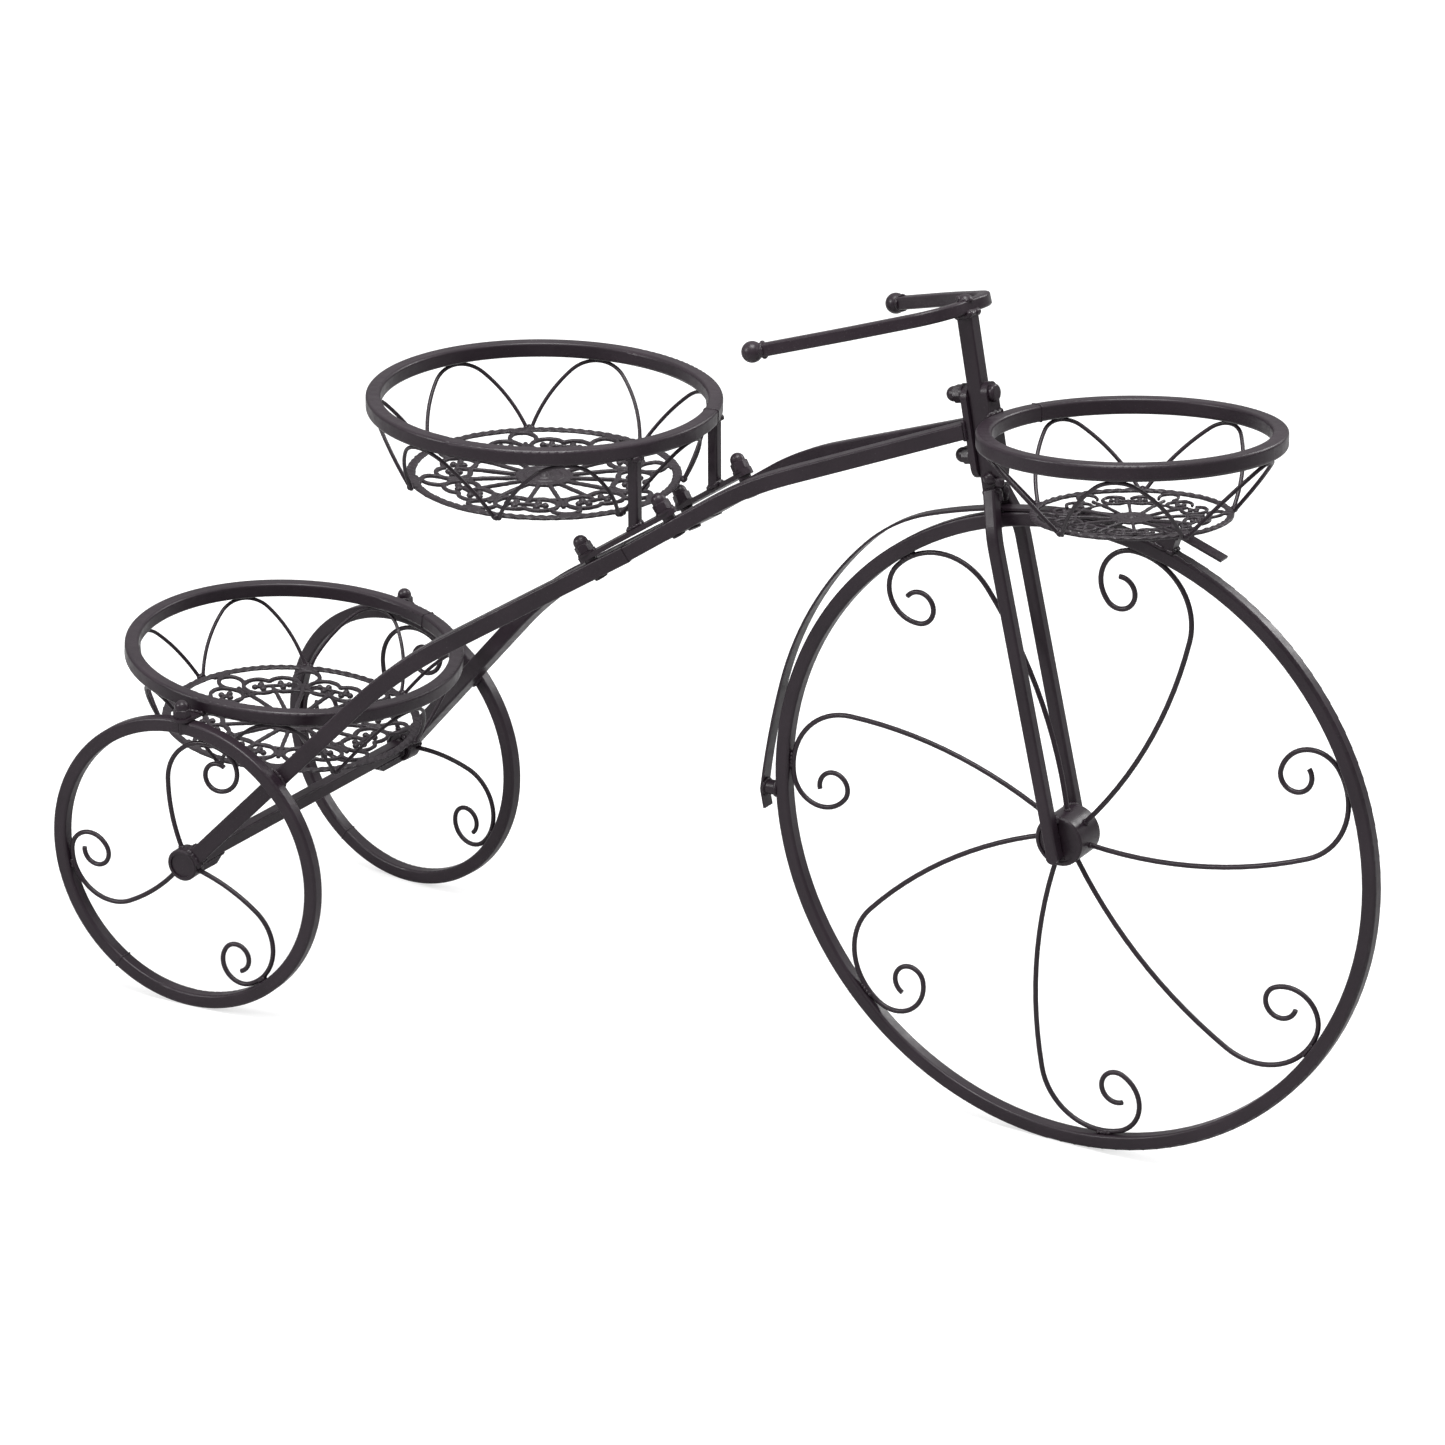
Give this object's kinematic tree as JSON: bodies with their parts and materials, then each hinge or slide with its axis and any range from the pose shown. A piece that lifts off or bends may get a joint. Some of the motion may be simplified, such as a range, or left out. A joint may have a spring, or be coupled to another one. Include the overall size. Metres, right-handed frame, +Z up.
{
  "type": "tricycle plant stand",
  "caption": "Black steel tricycle plant stand with scroll-spoked wheels and three round wire baskets with cast grille floors for flower pots.",
  "frame": {"origin": "on the ground, under the middle of the whole stand", "axes": "+X towards the big front wheel, +Y to the rider's left, +Z up"},
  "size_m": [0.8907, 0.269, 0.529],
  "materials": {
    "black_coated_steel": "satin black powder coat over steel tube and wire",
    "cast_grille": "satin black paint over a sand casting",
    "black_fasteners": "black plated steel bolts, washers and acorn nuts"
  },
  "bodies": {
    "root": {"axle_gusset_left": "black_coated_steel", "axle_gusset_right": "black_coated_steel", "fender": "black_coated_steel", "fender_front_block": "black_coated_steel", "fender_rear_stud": "black_coated_steel", "fork_leg_left": "black_coated_steel", "fork_leg_right": "black_coated_steel", "front_basket_arches": "black_coated_steel", "front_basket_floor": "cast_grille", "front_basket_plate": "black_coated_steel", "front_basket_rim": "black_coated_steel", "front_frame_tube_left": "black_coated_steel", "front_frame_tube_right": "black_coated_steel", "front_wheel_hub": "black_coated_steel", "front_wheel_rim": "black_coated_steel", "front_wheel_spokes": "black_coated_steel", "handlebar": "black_coated_steel", "handlebar_ball_left": "black_coated_steel", "handlebar_ball_right": "black_coated_steel", "handlebar_bolt": "black_fasteners", "head_acorn_nuts": "black_fasteners", "head_bolts": "black_fasteners", "head_plate": "black_coated_steel", "head_washers": "black_fasteners", "lug_acorn_nuts": "black_fasteners", "lug_bolts": "black_fasteners", "rear_axle_bar": "black_coated_steel", "rear_basket_arches": "black_coated_steel", "rear_basket_floor": "cast_grille", "rear_basket_lug_left": "black_coated_steel", "rear_basket_lug_right": "black_coated_steel", "rear_basket_rim": "black_coated_steel", "rear_frame_tube_left": "black_coated_steel", "rear_frame_tube_right": "black_coated_steel", "rear_wheel_hub_left": "black_coated_steel", "rear_wheel_hub_right": "black_coated_steel", "rear_wheel_rim_left": "black_coated_steel", "rear_wheel_rim_right": "black_coated_steel", "rear_wheel_spokes_left": "black_coated_steel", "rear_wheel_spokes_right": "black_coated_steel", "seat_basket_arches": "black_coated_steel", "seat_basket_floor": "cast_grille", "seat_basket_rim": "black_coated_steel", "seat_post_left": "black_coated_steel", "seat_post_right": "black_coated_steel", "splice_strap_left": "black_coated_steel", "splice_strap_right": "black_coated_steel", "steerer_tube": "black_coated_steel", "strap_acorn_nuts": "black_fasteners", "strap_bolts": "black_fasteners", "strap_spacers": "black_coated_steel", "strap_washers": "black_fasteners"}
  },
  "joints": []
}
